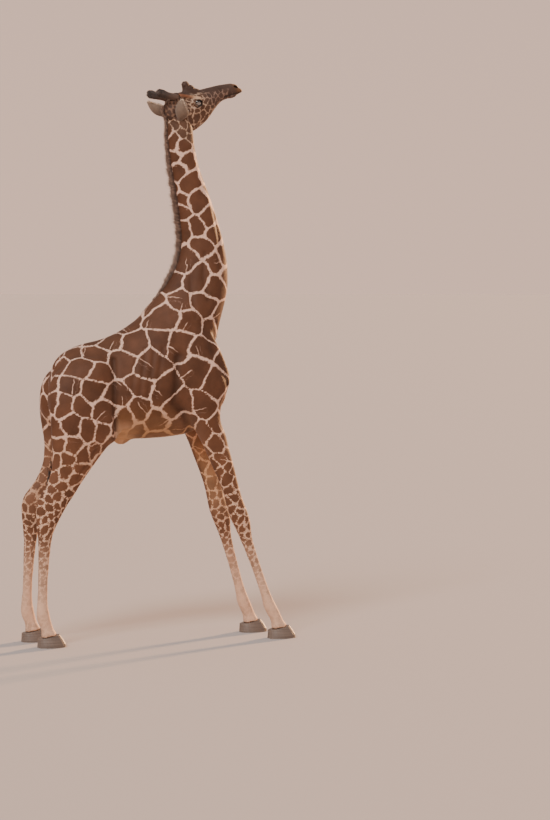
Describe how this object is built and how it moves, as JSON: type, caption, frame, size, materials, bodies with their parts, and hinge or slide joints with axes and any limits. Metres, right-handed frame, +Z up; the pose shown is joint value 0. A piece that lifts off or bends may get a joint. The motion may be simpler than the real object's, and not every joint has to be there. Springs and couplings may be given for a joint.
{
  "type": "reticulated giraffe",
  "caption": "Life-size reticulated giraffe bull standing with its neck upright and its muzzle raised, coat of large brown patches parted by pale lines.",
  "frame": {"origin": "on the floor, under the middle of the whole animal's box", "axes": "+X the way the animal faces, +Y to its left, +Z up"},
  "size_m": [2.2278, 0.6574, 4.5916],
  "materials": {
    "coat": "short matt fur",
    "ear_coat": "short pale fur",
    "eye": "wet and glossy",
    "horn_coat": "dark bristly fur",
    "tail_hair": "long black hair",
    "hoof": "dull worn horn"
  },
  "bodies": {
    "root": {"torso": "coat", "neck_lower": "coat", "neck_upper": "coat", "head": "coat", "fore_leg_right_upper": "coat", "fore_leg_right_lower": "coat", "fore_leg_left_upper": "coat", "fore_leg_left_lower": "coat", "hind_leg_right_upper": "coat", "hind_leg_right_lower": "coat", "hind_leg_left_upper": "coat", "hind_leg_left_lower": "coat", "ear_left": "ear_coat", "ear_right": "ear_coat", "eye_left": "eye", "eye_right": "eye", "ossicone_left": "horn_coat", "ossicone_right": "horn_coat", "tail": "tail_hair", "hoof_fore_right_outer": "hoof", "hoof_fore_right_inner": "hoof", "hoof_fore_left_outer": "hoof", "hoof_fore_left_inner": "hoof", "hoof_hind_right_outer": "hoof", "hoof_hind_right_inner": "hoof", "hoof_hind_left_outer": "hoof", "hoof_hind_left_inner": "hoof"}
  },
  "joints": []
}
